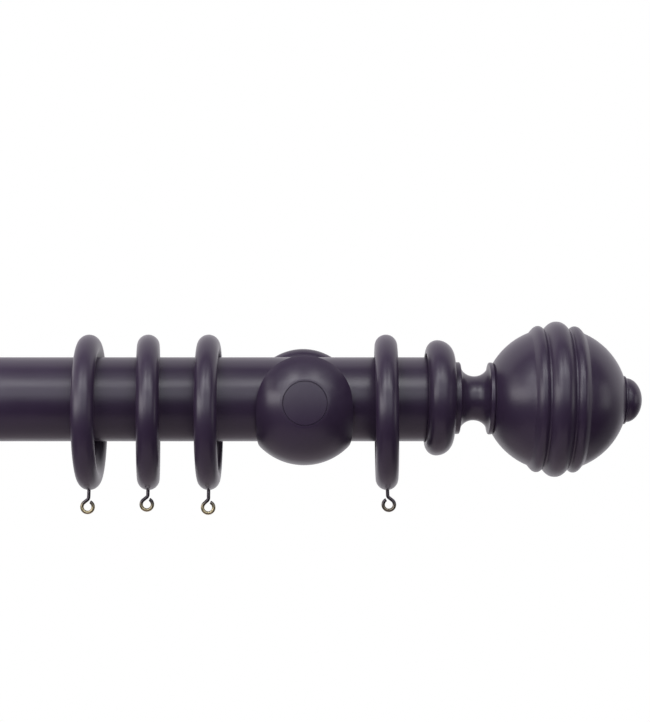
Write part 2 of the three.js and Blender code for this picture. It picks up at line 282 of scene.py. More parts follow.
paint = {
    "deep": (0.0275, 0.0166, 0.0375), "light": (0.0348, 0.0216, 0.0465), "roughness": (0.29, 0.36),
    "cloudScale": 24, "ior": 1.5,
    "grainScale": 900, "grainTone": 0.35, "grainStrength": 0.3, "grainHeight": 0.00006,
    "peelScale": 1400, "peelStrength": 0.35, "peelHeight": 0.00003,
}


def paintMaterial(name, grain):
    # satin paint over turned wood: the grain still telegraphs through along one axis
    material, nodes, links, shader = newMaterial(name)
    plain = objectCoords(nodes)
    along = stretched(nodes, links, plain, grain)
    clouds = noise(nodes, links, plain, paint["cloudScale"], 2)
    streaks = noise(nodes, links, along, paint["grainScale"], 4, 0.6, 0.2)
    peel = noise(nodes, links, plain, paint["peelScale"], 2)
    tone = blendColor(nodes, links, spread(nodes, links, clouds, 0, 1), paint["deep"], paint["light"])
    grained = spread(nodes, links, streaks, 0, paint["grainTone"])
    tone = blendColor(nodes, links, grained, tone, paint["deep"])
    links.new(tone, shader.inputs["Base Color"])
    links.new(spread(nodes, links, clouds, *paint["roughness"]), shader.inputs["Roughness"])
    shader.inputs["IOR"].default_value = paint["ior"]
    peeled = bump(nodes, links, peel, paint["peelStrength"], paint["peelHeight"])
    raised = bump(nodes, links, streaks, paint["grainStrength"], paint["grainHeight"], peeled)
    links.new(raised, shader.inputs["Normal"])
    return material


steel = {
    "color": (0.60, 0.61, 0.63), "dull": (0.42, 0.43, 0.45), "roughness": (0.24, 0.42),
    "patchScale": 420, "fineScale": 2600, "fineStrength": 0.25, "fineHeight": 0.00003,
}


def steelMaterial(name):
    # bright zinc plate with a fine mottle
    material, nodes, links, shader = newMaterial(name)
    plain = objectCoords(nodes)
    patches = noise(nodes, links, plain, steel["patchScale"], 3)
    fine = noise(nodes, links, plain, steel["fineScale"], 2)
    tone = blendColor(nodes, links, spread(nodes, links, patches, 0, 1), steel["dull"], steel["color"])
    links.new(tone, shader.inputs["Base Color"])
    shader.inputs["Metallic"].default_value = 1
    links.new(spread(nodes, links, patches, *steel["roughness"]), shader.inputs["Roughness"])
    raised = bump(nodes, links, fine, steel["fineStrength"], steel["fineHeight"])
    links.new(raised, shader.inputs["Normal"])
    return material


wire = {
    "dark": (0.085, 0.075, 0.088), "brass": (0.50, 0.42, 0.25), "roughness": (0.28, 0.45),
    "wornFrom": 7 * mm, "wornTo": 1.5 * mm,   # heights over the eye's lowest point
    "speckScale": 1500, "speckTone": 0.55, "speckStrength": 0.2, "speckHeight": 0.00003,
}


def wireMaterial(name, lowest, brightness):
    # brass wire, blacked at the shank and worn bright round the bottom of the loop
    material, nodes, links, shader = newMaterial(name)
    plain = objectCoords(nodes)
    split = nodes.new("ShaderNodeSeparateXYZ")
    links.new(plain, split.inputs["Vector"])
    worn = (lowest + wire["wornFrom"], lowest + wire["wornTo"])
    wear = fadeBetween(nodes, links, split.outputs["Z"], worn, (0, brightness))
    specks = noise(nodes, links, plain, wire["speckScale"], 3)
    patchy = calculated(nodes, links, "MULTIPLY", wear, spread(nodes, links, specks, wire["speckTone"], 1))
    tone = blendColor(nodes, links, patchy, wire["dark"], wire["brass"])
    links.new(tone, shader.inputs["Base Color"])
    shader.inputs["Metallic"].default_value = 1
    links.new(spread(nodes, links, specks, *wire["roughness"]), shader.inputs["Roughness"])
    raised = bump(nodes, links, specks, wire["speckStrength"], wire["speckHeight"])
    links.new(raised, shader.inputs["Normal"])
    return material


felt = {
    "color": (0.022, 0.020, 0.024), "fuzz": (0.045, 0.041, 0.047), "roughness": 0.95, "sheen": 0.4,
    "fibreScale": 1800, "fibreStrength": 0.6, "fibreHeight": 0.0003,
}


def feltMaterial(name):
    material, nodes, links, shader = newMaterial(name)
    fibres = noise(nodes, links, objectCoords(nodes), felt["fibreScale"], 5, 0.7, 1.5)
    tone = blendColor(nodes, links, spread(nodes, links, fibres, 0, 1), felt["color"], felt["fuzz"])
    links.new(tone, shader.inputs["Base Color"])
    shader.inputs["Roughness"].default_value = felt["roughness"]
    shader.inputs["Sheen Weight"].default_value = felt["sheen"]
    raised = bump(nodes, links, fibres, felt["fibreStrength"], felt["fibreHeight"])
    links.new(raised, shader.inputs["Normal"])
    return material


grainAlongPole = (0.03, 1, 1)
grainIntoRoom = (1, 0.03, 1)
polePaint = paintMaterial("polePaint", grainAlongPole)
cupPaint = paintMaterial("cupPaint", grainIntoRoom)
zinc = steelMaterial("zincPlate")
feltCloth = feltMaterial("feltCloth")


def finish(piece, body, node, material):
    piece.data.materials.clear()
    piece.data.materials.append(material)
    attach(piece, body)
    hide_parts(node)


def middle(node):
    low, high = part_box(node)
    return (low + high) / 2


# pole
poleSpec = {"sides": 160, "holeRadius": 4.3 * mm, "holeDepth": 30.3 * mm, "edge": 0.8 * mm}

poleLow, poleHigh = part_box("pole")
poleCentre = (poleLow + poleHigh) / 2
poleRadius = (poleHigh.z - poleLow.z) / 2
poleHalf = (poleHigh.x - poleLow.x) / 2


def makePole():
    deselectAll()
    bpy.ops.mesh.primitive_cylinder_add(vertices=poleSpec["sides"], radius=poleRadius, depth=2 * poleHalf,
                                        rotation=(0, math.pi / 2, 0), location=poleCentre)
    piece = named("poleBar")
    settle(piece)
    selectFaces(piece, lambda face: abs(face.normal.x) > 0.9)
    bpy.ops.mesh.inset(thickness=poleRadius - poleSpec["holeRadius"])
    bpy.ops.object.mode_set(mode="OBJECT")
    for sign in (-1, 1):
        selectFaces(piece, lambda face: face.normal.x * sign > 0.9 and
                    (face.center - poleCentre).yz.length < mm)
        bpy.ops.mesh.extrude_region_move(
            TRANSFORM_OT_translate={"value": (-sign * poleSpec["holeDepth"], 0, 0)})
        bpy.ops.object.mode_set(mode="OBJECT")
    softenEdges(piece, poleSpec["edge"], 60, 3)
    smooth(piece)
    finish(piece, "pole", "pole", polePaint)


makePole()
print("pole done")


# finials
finialSpec = {
    "recessRadius": 26.5 * mm, "recessDepth": 9.9 * mm, "holeRadius": 4.3 * mm, "holeEnd": 40.2 * mm,
    "collarFace": 27.6 * mm, "collarCrest": 6.6 * mm, "collarRadius": 34.3 * mm,
    "collarWidth": 16.7 * mm, "collarBack": 23.9 * mm,
    "filletRadius": 21.4 * mm, "filletWidth": 3.05 * mm, "filletRound": 0.8 * mm, "coveLate": 0.4 * mm,
    "coveWidth": 17.35 * mm, "coveRadius": 13.1 * mm,
    "headRadius": 42.6 * mm,
    "beads": ((-12 * mm, 8.3 * mm, 43.3 * mm), (0, 14 * mm, 46.2 * mm), (12 * mm, 8.3 * mm, 43.3 * mm)),
    "buttonRadius": 14.4 * mm, "buttonLength": 11.4 * mm, "flange": 1.6 * mm,
    "domeStep": 0.3 * mm, "dome": 13.1 * mm,
    "arris": 0.2 * mm, "steps": 144,
    "droop": 0.7,   # degrees that the finial hangs in its loose recess
    "droopCentre": 76.9 * mm,
}


def beadStations(headCentre, bead, steps=14):
    # full next to the middle bead, and running out softly on the side away from it
    offset, width, crest = bead
    head = finialSpec["headRadius"]
    rise = crest - math.sqrt(head ** 2 - offset ** 2)
    stations = []
    for i in range(steps + 1):
        t = -math.cos(math.pi * i / steps)
        along = offset + width / 2 * t
        outward = t * offset > 0
        lift = (1 - t * t) ** 1.5 if outward else (1 - abs(t) ** 2.4) ** 1.1
        stations.append((headCentre + along, math.sqrt(head ** 2 - along ** 2) + rise * lift))
    return stations


def finialStations():
    s = finialSpec
    soft = s["filletRound"]
    fillet = s["filletRadius"]
    coveStart = s["collarWidth"] + s["filletWidth"] + s["coveLate"]
    coveEnd = s["collarWidth"] + s["filletWidth"] + s["coveWidth"]
    headStart = coveEnd + s["filletWidth"]
    head = s["headRadius"]
    headCentre = headStart + math.sqrt(head ** 2 - fillet ** 2)
    buttonStart = headCentre + math.sqrt(head ** 2 - s["buttonRadius"] ** 2)
    angleAt = lambda along: math.degrees(math.acos(along / head))
    outer = s["beads"][2][0] + s["beads"][2][1] / 2
    tip = buttonStart + s["buttonLength"]
    domeStart = buttonStart + s["flange"] + s["domeStep"]
    easy = 1.7 * soft   # the rounding where the fillet meets the head
    faceRise = s["collarRadius"] - s["collarFace"]
    return [
        (s["holeEnd"], 0), (s["holeEnd"], s["holeRadius"]), (s["recessDepth"], s["holeRadius"]),
        (s["recessDepth"], s["recessRadius"]), (0, s["recessRadius"]),
        *arc(s["collarCrest"], s["collarFace"], s["collarCrest"], faceRise, 180, 90, 12),
        *arc(s["collarCrest"], s["collarBack"], s["collarWidth"] - s["collarCrest"],
             s["collarRadius"] - s["collarBack"], 90, 0, 14)[1:],
        *arc(s["collarWidth"] + soft / 2, fillet - soft / 2, soft / 2, soft / 2, 180, 90, 5),
        *arc(coveStart - soft, fillet - soft, soft, soft, 90, 0, 8),
        *arc((coveStart + coveEnd) / 2, fillet - soft, (coveEnd - coveStart) / 2,
             s["coveRadius"] + soft - fillet, 180, 0, 24)[1:-1],
        *arc(coveEnd + soft, fillet - soft, soft, soft, 180, 90, 8),
        *arc(headStart - easy, fillet - easy, easy, easy, 90, 20, 8),
        *arc(headCentre, 0, head, head, angleAt(headStart - headCentre), angleAt(-outer), 16)[:-1],
        *beadStations(headCentre, s["beads"][0]),
        *beadStations(headCentre, s["beads"][1]),
        *beadStations(headCentre, s["beads"][2]),
        *arc(headCentre, 0, head, head, angleAt(outer), angleAt(buttonStart - headCentre), 18)[1:],
        *arc(buttonStart + s["flange"] / 2, s["buttonRadius"] - s["flange"] / 2, s["flange"] / 2,
             s["flange"] / 2, 150, 0, 12),
        *arc(domeStart, 0, tip - domeStart, s["dome"], 90, 0, 16),
    ]


def droop(piece):
    # all but the bore tips about the head's centre: the collar rides up, the button hangs
    s = finialSpec
    bore = s["holeRadius"] + mm
    selectVerts(piece, lambda co: co.x > s["holeEnd"] + mm or math.hypot(co.y, co.z) > bore)
    bpy.ops.transform.rotate(value=math.radians(-s["droop"]), orient_axis="Y", orient_type="GLOBAL",
                             center_override=(s["droopCentre"], 0, 0))
    bpy.ops.object.mode_set(mode="OBJECT")


def makeFinials():
    first = turned("finialTurned", finialStations(), finialSpec["steps"])
    softenEdges(first, finialSpec["arris"], 30, 3)
    for side, turn in (("left", toLeft), ("right", Matrix.Identity(3))):
        piece = copyOf(first, "finialBall_" + side)
        low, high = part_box("finial_" + side)
        face = high.x if side == "left" else low.x
        droop(piece)
        place(piece, turn, Vector((face, poleCentre.y, poleCentre.z)))
        smooth(piece, 30)
        finish(piece, "finial_" + side, "finial_" + side, polePaint)
    bpy.data.objects.remove(first, do_unlink=True)


makeFinials()
print("finials done")


# rings
ringSpec = {
    "inner": 32.8 * mm, "bar": 6.7 * mm, "segments": 144, "barSegments": 40,
    "bore": 1.3 * mm, "boreDepth": 10.3 * mm, "drillPast": 4 * mm, "count": 12,
    "looseness": 0.05 * mm,   # how far a hanging ring stays off the pole's top
}
ringBottom = -(ringSpec["inner"] + 2 * ringSpec["bar"])


def ringPose(node):
    # centre and axis of a ring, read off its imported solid
    low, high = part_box(node)
    points = np.array([v.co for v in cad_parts[node].data.vertices])
    directions = np.linalg.eigh(np.cov((points - points.mean(0)).T))[1]
    axis = Vector(directions[:, 0])   # the thinnest way through
    if axis.x < 0:
        axis.negate()
    lean = math.asin(-axis.z)
    turn = math.atan2(axis.y, axis.x)
    return (low + high) / 2, Matrix.Rotation(turn, 3, "Z") @ Matrix.Rotation(lean, 3, "Y")


def makeRing():
    deselectAll()
    bpy.ops.mesh.primitive_torus_add(
        major_segments=ringSpec["segments"], minor_segments=ringSpec["barSegments"],
        major_radius=ringSpec["inner"] + ringSpec["bar"], minor_radius=ringSpec["bar"],
        rotation=(0, math.pi / 2, 0))
    piece = named("ringTurned")
    settle(piece)
    # bore for the screw eye
    bore = drill(ringSpec["bore"], ringSpec["boreDepth"] + ringSpec["drillPast"], 24)
    place(bore, toUp, Vector((0, 0, ringBottom - ringSpec["drillPast"])))
    carve(piece, bore)
    return piece


ringBlank = makeRing()

eyeSpec = {
    "wire": 1.05 * mm, "loop": 3.35 * mm, "drop": 9.6 * mm, "reach": 10.0 * mm,
    "join": 135, "turnThrough": 295,   # degrees: where the loop starts, and how far it goes round
    "bend": 2.2 * mm, "sides": 16, "loopSteps": 40, "bendSteps": 8, "tip": 0.3 * mm,
    "bentBelow": 0.5 * mm,    # under the ring, so that the shank in the bore stays straight
    "lastBrightness": 0.35,
}


def makeEye(hand):
    # one wire: down the shank, aside by 45 degrees, then round the loop
    s = eyeSpec
    centre = Vector((0, 0, ringBottom - s["drop"]))
    joinAngle = math.radians(s["join"])
    join = centre + s["loop"] * Vector((math.cos(joinAngle), 0, math.sin(joinAngle)))
    corner = Vector((0, 0, join.z - join.x))
    tangent = s["bend"] * math.tan(math.radians(22.5))
    top = ringBottom + s["reach"]
    deselectAll()
    bpy.ops.mesh.primitive_circle_add(vertices=s["sides"], radius=s["wire"], fill_type="NGON",
                                      location=(0, 0, top))
    piece = named("eyeBent")
    settle(piece)
    bpy.ops.object.mode_set(mode="EDIT")
    bpy.ops.mesh.select_all(action="SELECT")
    down = corner.z + tangent - top
    bpy.ops.mesh.extrude_region_move(TRANSFORM_OT_translate={"value": (0, 0, down)})
    bpy.ops.mesh.spin(steps=s["bendSteps"], angle=math.radians(-45), axis=(0, 1, 0),
                      center=(-s["bend"], 0, corner.z + tangent))
    start = corner + tangent * Vector((-1, 0, -1)).normalized()
    run = join - start
    bpy.ops.mesh.extrude_region_move(TRANSFORM_OT_translate={"value": run})
    bpy.ops.mesh.spin(steps=s["loopSteps"], angle=math.radians(s["turnThrough"]), axis=(0, 1, 0),
                      center=centre)
    bpy.ops.object.mode_set(mode="OBJECT")
    if hand < 0:
        piece.data.transform(Matrix.Scale(-1, 4, (1, 0, 0)))
    pick(piece)
    bpy.ops.object.mode_set(mode="EDIT")
    bpy.ops.mesh.select_all(action="SELECT")
    bpy.ops.mesh.remove_doubles(threshold=1e-6)
    bpy.ops.mesh.normals_make_consistent(inside=False)
    bpy.ops.object.mode_set(mode="OBJECT")
    softenEdges(piece, s["tip"], 60, 2)
    return piece


eyeBlanks = {1: makeEye(1), -1: makeEye(-1)}

# how far each eye was bent out of plumb (degrees, to the right) and screwed in (mm above the rest)
eyeBends = (3, -4, 0, 4, -3, 5, -4, 2, -6.8, -6.3, -2.0, 6.5)
eyeLifts = (0, 0.5, -0.3, 0.1, 0.4, -0.5, 0.2, 0, -0.5, 1.0, -0.8, 0.8)
ringNudges = {12: -0.6 * mm}   # a ring's small slide along the pole


def settleEye(eye, bend, lift):
    selectVerts(eye, lambda co: co.z < ringBottom - eyeSpec["bentBelow"])
    bpy.ops.transform.translate(value=(0, 0, lift * mm))
    bpy.ops.transform.rotate(value=math.radians(bend), orient_axis="Y", orient_type="GLOBAL",
                             center_override=(0, 0, ringBottom))
    bpy.ops.object.mode_set(mode="OBJECT")


def hangRings():
    count = ringSpec["count"]
    for index in range(1, count + 1):
        node = f"ring_{index:02d}"
        eyeNode = f"ring_eye_{index:02d}"
        centre, turn = ringPose(node)
        centre.z = poleHigh.z - ringSpec["inner"] + ringSpec["looseness"]   # hangs on the pole
        centre.x += ringNudges.get(index, 0)
        ring = copyOf(ringBlank, f"curtainRing_{index:02d}")
        place(ring, turn, centre)
        smooth(ring, 40)
        finish(ring, node, node, polePaint)
        hand = -1 if index == count else 1   # the last eye is turned the other way, and hardly worn
        eye = copyOf(eyeBlanks[hand], f"screwEye_{index:02d}")
        settleEye(eye, eyeBends[index - 1], eyeLifts[index - 1])
        place(eye, turn, centre)
        smooth(eye, 50)
        brightness = eyeSpec["lastBrightness"] if index == count else 1
        brassWire = wireMaterial(f"eyeWire_{index:02d}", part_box(eyeNode)[0].z, brightness)
        finish(eye, node, eyeNode, brassWire)
    for blank in (ringBlank, *eyeBlanks.values()):
        bpy.data.objects.remove(blank, do_unlink=True)


hangRings()
print("rings done")


# brackets
cupSpec = {
    "channel": 28.4 * mm, "ball": 36.7 * mm, "forward": 4.5 * mm,
    "plugRadius": 13.0 * mm, "plugDepth": 2.5 * mm, "flat": 13.25 * mm, "pegRadius": 8.3 * mm,
    "counterbore": 6.5 * mm, "counterboreDepth": 6.9 * mm, "boltHole": 3.3 * mm,
    "slack": -0.6 * mm,   # how far the right cup was tightened up off its rose's centre
    "waist": 13.0 * mm, "foot": 17.6 * mm, "footLength": 3.5 * mm,
    "screwHole": 1.9 * mm, "screwHoleDepth": 20 * mm, "screwMouth": 3.7 * mm, "mouthDepth": 2.7 * mm,
    "drillPast": 10 * mm, "rim": 1.4 * mm, "arris": 0.45 * mm, "steps": 144,
    "cutterLength": 120 * mm, "cutterRise": 60 * mm, "cutterSides": 128,
}
roseSpec = {
    "radius": 34.5 * mm, "thickness": 16 * mm, "edge": 4 * mm, "seat": 20 * mm, "shoulder": 8.5 * mm,
    "quirk": 1.5 * mm, "plate": 26.3 * mm, "plateDepth": 3.3 * mm,
    "boss": 10.3 * mm, "bossDepth": 13.3 * mm, "boltHole": 3.8 * mm, "arris": 0.5 * mm, "steps": 128,
}
poleAway = -poleCentre.y
screwNumbers = (1, 2, 3)   # the wall screws of one rose


def cupStations():
    s = cupSpec
    ballAt = poleAway + s["forward"]
    channelBack = poleAway - s["channel"]
    neck = math.sqrt(s["ball"] ** 2 - (ballAt - channelBack) ** 2)
    footAt = -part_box("cup_right")[1].y
    neckStart = footAt + s["footLength"]
    front = ballAt + math.sqrt(s["ball"] ** 2 - s["flat"] ** 2)
    backAngle = 180 - math.degrees(math.asin(neck / s["ball"]))
    frontAngle = math.degrees(math.asin(s["flat"] / s["ball"]))
    middleAt = (neckStart + channelBack) / 2
    floor = channelBack - s["counterboreDepth"]
    return [
        (footAt, s["boltHole"]), (footAt, s["foot"]), (neckStart, s["foot"]),
        *arc(middleAt, neck, middleAt - neckStart, s["waist"] - neck, 180, 0, 24),
        *arc(ballAt, 0, s["ball"], s["ball"], backAngle, frontAngle, 48)[1:],
        (front, s["plugRadius"]), (front - s["plugDepth"], s["plugRadius"]),
        (front - s["plugDepth"], s["pegRadius"]), (poleAway, s["pegRadius"]),
        (poleAway, s["counterbore"]), (floor, s["counterbore"]), (floor, s["boltHole"]),
        (footAt, s["boltHole"]),
    ]


def channelCutter():
    # a bar as wide as the channel, its upper half drawn up so that the sides run straight
    s = cupSpec
    deselectAll()
    bpy.ops.mesh.primitive_cylinder_add(vertices=s["cutterSides"], radius=s["channel"],
                                        depth=s["cutterLength"], rotation=(0, math.pi / 2, 0),
                                        location=(0, 0, 0))
    cutter = named("channelCutter")
    settle(cutter)
    selectVerts(cutter, lambda co: co.z > 0.1 * mm)
    bpy.ops.transform.translate(value=(0, 0, s["cutterRise"]))
    bpy.ops.object.mode_set(mode="OBJECT")
    place(cutter, Matrix.Identity(3), Vector((0, poleCentre.y, poleCentre.z)))
    return cutter


def makeCup():
    s = cupSpec
    piece = turned("cupTurned", cupStations(), s["steps"])
    place(piece, toRoom, Vector((0, 0, 0)))
    carve(piece, channelCutter())
    mend(piece)
    softenEdges(piece, s["rim"], 110, 3)   # only the sharp rim of the front wall
    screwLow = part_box("pole_screw_right")[0].z
    hole = drill(s["screwHole"], s["screwHoleDepth"], 32)
    place(hole, toUp, Vector((0, poleCentre.y, screwLow)))
    carve(piece, hole)
    mouth = drill(s["screwMouth"], s["drillPast"] + s["mouthDepth"], 32)
    place(mouth, toUp, Vector((0, poleCentre.y, screwLow - s["drillPast"])))
    carve(piece, mouth)
    mend(piece)
    softenEdges(piece, s["arris"], 38, 2)
    mend(piece)
    return piece


def roseStations():
    s = roseSpec
    shoulderIn = s["radius"] - s["shoulder"]
    quirkIn = shoulderIn - s["quirk"]
    rise = s["thickness"] - s["edge"] - s["shoulder"] - s["quirk"]
    return [
        (s["bossDepth"], s["boltHole"]), (s["bossDepth"], s["boss"]), (s["plateDepth"], s["boss"]),
        (s["plateDepth"], s["plate"]), (0, s["plate"]), (0, s["radius"]),
        *arc(s["edge"], shoulderIn, s["shoulder"], s["shoulder"], 90, 0, 12),
        (s["edge"] + s["shoulder"], quirkIn),
        *arc(s["thickness"] - s["quirk"], quirkIn, rise, s["seat"] - quirkIn, 180, 90, 14)[1:],
        (s["thickness"], s["seat"]), (s["thickness"], s["boltHole"]), (s["bossDepth"], s["boltHole"]),
    ]


def makeRose():
    piece = turned("roseTurned", roseStations(), roseSpec["steps"])
    place(piece, toRoom, Vector((0, 0, 0)))
    softenEdges(piece, roseSpec["arris"], 35, 3)
    return piece


plugSpec = {
    "below": 0.2 * mm, "gap": 0.15 * mm, "headDepth": 2.5 * mm, "peg": 8 * mm,
    "arris": 0.3 * mm, "steps": 128,
}


def makePlug():
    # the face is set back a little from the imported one, with a fine gap about the head
    s = plugSpec
    low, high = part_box("cover_plug_right")
    face, pegEnd = -low.y - s["below"], -high.y
    head = cupSpec["plugRadius"] - s["gap"]
    seat = face - s["headDepth"]
    stations = [(pegEnd, 0), (pegEnd, s["peg"]), (seat, s["peg"]), (seat, head), (face, head), (face, 0)]
    piece = turned("plugTurned", stations, s["steps"])
    place(piece, toRoom, Vector((0, 0, 0)))
    softenEdges(piece, s["arris"], 35, 3)
    return piece


linerSpec = {"inner": 25.35 * mm, "outer": 27.5 * mm, "screwHole": 1.9 * mm, "arris": 0.4 * mm, "steps": 36}


def makeLiner():
    # a felt strip: its cross-section is swept round the bottom of the channel
    low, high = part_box("cup_liner_right")
    inner, outer = linerSpec["inner"], linerSpec["outer"]
    sweep = 2 * math.asin((high.y - low.y) / 2 / outer)
    deselectAll()
    bpy.ops.mesh.primitive_plane_add(size=1, location=(0, 0, 0))
    piece = named("linerCut")
    piece.scale = (high.x - low.x, outer - inner, 1)
    piece.rotation_euler = (math.pi / 2, 0, 0)
    settle(piece)
    piece.data.transform(Matrix.Translation((0, 0, -(inner + outer) / 2)))
    piece.data.transform(Matrix.Rotation(sweep / 2, 4, "X"))
    bpy.ops.object.mode_set(mode="EDIT")
    bpy.ops.mesh.select_all(action="SELECT")
    bpy.ops.mesh.subdivide(number_cuts=1)
    bpy.ops.mesh.spin(steps=linerSpec["steps"], angle=sweep, center=(0, 0, 0), axis=(1, 0, 0))
    bpy.ops.mesh.select_all(action="SELECT")
    bpy.ops.mesh.normals_make_consistent(inside=False)
    bpy.ops.object.mode_set(mode="OBJECT")
    place(piece, Matrix.Identity(3), Vector((0, poleCentre.y, poleCentre.z)))
    depth = 40 * mm
    hole = drill(linerSpec["screwHole"], depth, 32)
    place(hole, toUp, Vector((0, poleCentre.y, poleCentre.z - depth)))
    carve(piece, hole)
    softenEdges(piece, linerSpec["arris"], 40, 2)
    return piece


# metalwork
def cutCross(screw, reach, depth):
    # a tapered cross for a driver, cut down from the screw's head at x = 0
    wingWidth = 0.32 * reach
    taper = (1, 0.35, 0.6)
    for angle in (0, math.pi / 2):
        deselectAll()
        bpy.ops.mesh.primitive_cube_add(size=1, location=(0, 0, 0))
        wing = named("cross")
        wing.scale = (2 * depth, 2 * reach, wingWidth)
        settle(wing)
        selectVerts(wing, lambda co: co.x < 0)
        bpy.ops.transform.resize(value=taper)
        bpy.ops.object.mode_set(mode="OBJECT")
        wing.data.transform(Matrix.Rotation(angle, 4, "X"))
        carve(screw, wing)


threadSteps = 28   # round one turn


def threadOn(piece, start, end, core, crest, pitch):
    # a ridge run round the shank as a helix, rooted inside the core, with both ends closed
    deselectAll()
    bpy.ops.mesh.primitive_circle_add(vertices=3, radius=1, fill_type="NOTHING", location=(0, 0, 0))
    ridge = named("ridge")
    half = 0.42 * pitch
    root = core * 0.9
    corners = ((-half, root), (half, root), (0, crest))
    for vert, (along, out) in zip(ridge.data.vertices, corners):
        vert.co = (start + half + along, 0, out)
    turns = (end - start - 2 * half) / pitch
    steps = int(threadSteps * turns)
    useModifier(ridge, "SCREW", axis="X", angle=2 * math.pi * turns, screw_offset=pitch * turns,
                steps=steps, render_steps=steps, use_merge_vertices=False)
    bpy.ops.object.mode_set(mode="EDIT")
    bpy.ops.mesh.select_mode(type="EDGE")
    bpy.ops.mesh.select_all(action="DESELECT")
    bpy.ops.mesh.select_non_manifold(extend=False)
    bpy.ops.mesh.edge_face_add()
    bpy.ops.mesh.select_all(action="SELECT")
    bpy.ops.mesh.normals_make_consistent(inside=False)
    bpy.ops.object.mode_set(mode="OBJECT")
    deselectAll()
    ridge.select_set(True)
    piece.select_set(True)
    bpy.context.view_layer.objects.active = piece
    bpy.ops.object.join()


wallScrewSpec = {
    "core": 1.45 * mm, "crest": 2.0 * mm, "pitch": 1.8 * mm, "point": 8 * mm, "threadFrom": 4 * mm,
    "threadTo": -5 * mm, "neck": -4 * mm, "headFrom": -2.2 * mm, "underHead": 1.95 * mm,
    "edge": 0.3 * mm, "chamfer": 0.2 * mm, "crossReach": 2.3 * mm, "crossDepth": 1.9 * mm, "steps": 48,
}


def makeWallScrew():
    # along +X from its point to its head; the head's face is at x = 0
    s = wallScrewSpec
    low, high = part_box("wall_screw_right_1")
    length = high.y - low.y
    head = (high.z - low.z) / 2
    stations = [(-length, 0), (s["point"] - length, s["core"]), (s["neck"], s["core"]),
                (s["headFrom"], s["underHead"]), (-s["edge"], head), (0, head - s["chamfer"]), (0, 0)]
    piece = turned("wallScrewCut", stations, s["steps"])
    cutCross(piece, s["crossReach"], s["crossDepth"])
    threadOn(piece, s["threadFrom"] - length, s["threadTo"], s["core"], s["crest"], s["pitch"])
    return piece


poleScrewSpec = {
    "core": 1.15 * mm, "crest": 1.6 * mm, "pitch": 1.2 * mm, "point": 1.2 * mm, "threadFrom": 0.8 * mm,
    "threadTo": -2.6 * mm, "neck": -2.4 * mm, "headFrom": -2.0 * mm, "underHead": 1.4 * mm,
    "dome": 0.9 * mm, "crossReach": 1.9 * mm, "crossDepth": 1.3 * mm, "steps": 48,
}


def makePoleScrew():
    # along +X from its point to its domed head, as the wall screw
    s = poleScrewSpec
    low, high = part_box("pole_screw_right")
    head = (high.y - low.y) / 2
    length = high.z - low.z
    stations = [(-length, 0), (s["point"] - length, s["core"]), (s["neck"], s["core"]),
                (s["headFrom"], s["underHead"]), (s["headFrom"], head),
                *arc(-s["dome"], 0, s["dome"], head, 90, 0, 8)]
    piece = turned("poleScrewCut", stations, s["steps"])
    cutCross(piece, s["crossReach"], s["crossDepth"])
    threadOn(piece, s["threadFrom"] - length, s["threadTo"], s["core"], s["crest"], s["pitch"])
    return piece


boltSpec = {
    "head": 5.0 * mm, "headHeight": 5.0 * mm, "shank": 3.0 * mm, "core": 2.55 * mm, "pitch": 1.0 * mm,
    "clearance": 0.05 * mm, "tipChamfer": 0.5 * mm, "tipLength": 0.8 * mm, "threadFrom": 0.6 * mm,
    "threadLength": 24 * mm, "shankFrom": 24.4 * mm, "headChamfer": 0.5 * mm,
    "key": 2.75 * mm, "keyDepth": 2.8 * mm, "keyLength": 6 * mm, "steps": 72,
}


def makeBolt():
    s = boltSpec
    low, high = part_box("bracket_bolt_right")
    tip, top = -high.y, -low.y
    head, core = s["head"], s["core"]
    shank = s["shank"] - s["clearance"]
    under = top - s["headHeight"]
    threadEnd = tip + s["threadLength"]
    stations = [(tip, 0), (tip, core - s["tipChamfer"]), (tip + s["tipLength"], core), (threadEnd, core),
                (tip + s["shankFrom"], shank), (under, shank), (under, head),
                (top - s["headChamfer"], head), (top, head - s["headChamfer"]), (top, 0)]
    piece = turned("boltCut", stations, s["steps"])
    key = drill(s["key"], s["keyLength"], 6)
    place(key, Matrix.Identity(3), Vector((top - s["keyDepth"], 0, 0)))
    carve(piece, key)
    threadOn(piece, tip + s["threadFrom"], threadEnd, core, s["shank"], s["pitch"])
    place(piece, toRoom, Vector((0, 0, 0)))
    return piece


washerSpec = {"radius": 6.2 * mm, "hole": 3.3 * mm, "arris": 0.15 * mm, "steps": 72}


def makeWasher():
    radius, hole = washerSpec["radius"], washerSpec["hole"]
    low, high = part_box("bolt_washer_right")
    back, front = -high.y, -low.y
    stations = [(back, hole), (back, radius), (front, radius), (front, hole), (back, hole)]
    piece = turned("washerCut", stations, washerSpec["steps"])
    softenEdges(piece, washerSpec["arris"], 35, 2)
    place(piece, toRoom, Vector((0, 0, 0)))
    return piece


plateSpec = {
    "radius": 26 * mm, "thick": 3 * mm, "boss": 10 * mm, "top": 13 * mm, "hole": 3.3 * mm,
    "screwHole": 2.3 * mm, "sinkFrom": 0.7 * mm, "sinkTo": 4 * mm, "sinkRadius": 5.45 * mm,
    "drillPast": 1 * mm, "arris": 0.25 * mm, "steps": 128,
}


